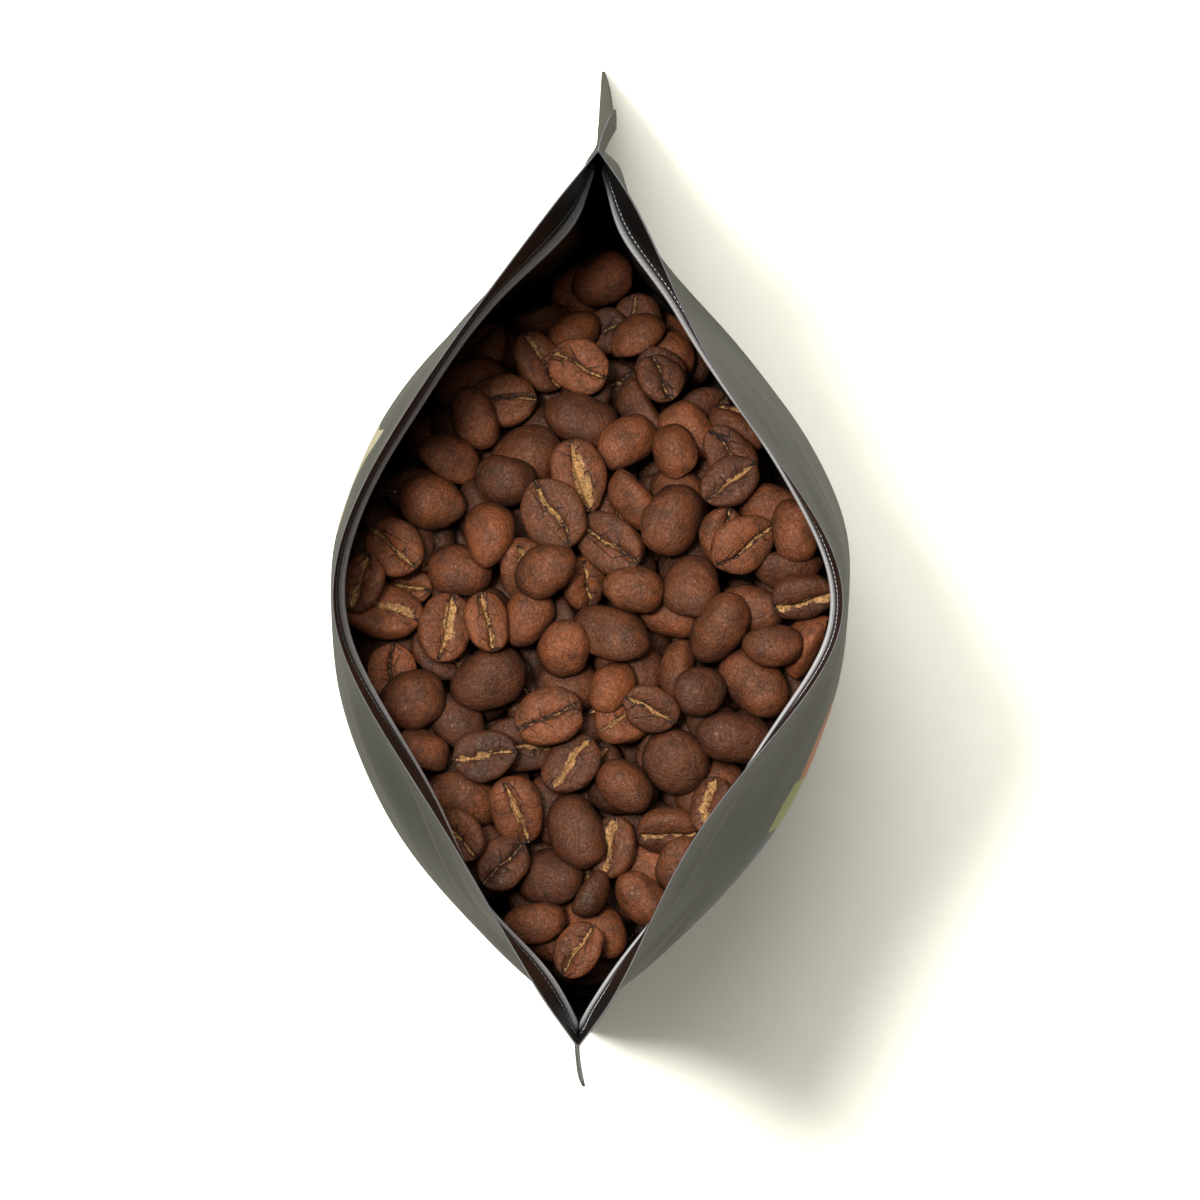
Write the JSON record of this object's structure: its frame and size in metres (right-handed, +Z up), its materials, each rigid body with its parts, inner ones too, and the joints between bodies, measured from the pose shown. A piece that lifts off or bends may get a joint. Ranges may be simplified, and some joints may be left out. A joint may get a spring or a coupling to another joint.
{
  "type": "coffee bag",
  "caption": "Opened stand-up pouch with a folded base, side seals and press-to-close strips, filled with whole roasted coffee beans.",
  "frame": {"origin": "middle of the bounding box, on the plane that the pouch stands on", "axes": "+Z up, X along the pouch's width from side seal to side seal, -Y out of the front panel"},
  "size_m": [0.146, 0.0744, 0.212],
  "materials": {
    "film": "matt laminated film, dark grey-green outside, near black inside",
    "zip": "satin extruded polyethylene",
    "roasted_beans": "medium-dark roasted beans, dry satin skin"
  },
  "bodies": {
    "root": {"pouch": "film", "zip_front": "zip", "zip_back": "zip", "beans": "roasted_beans"}
  },
  "joints": []
}
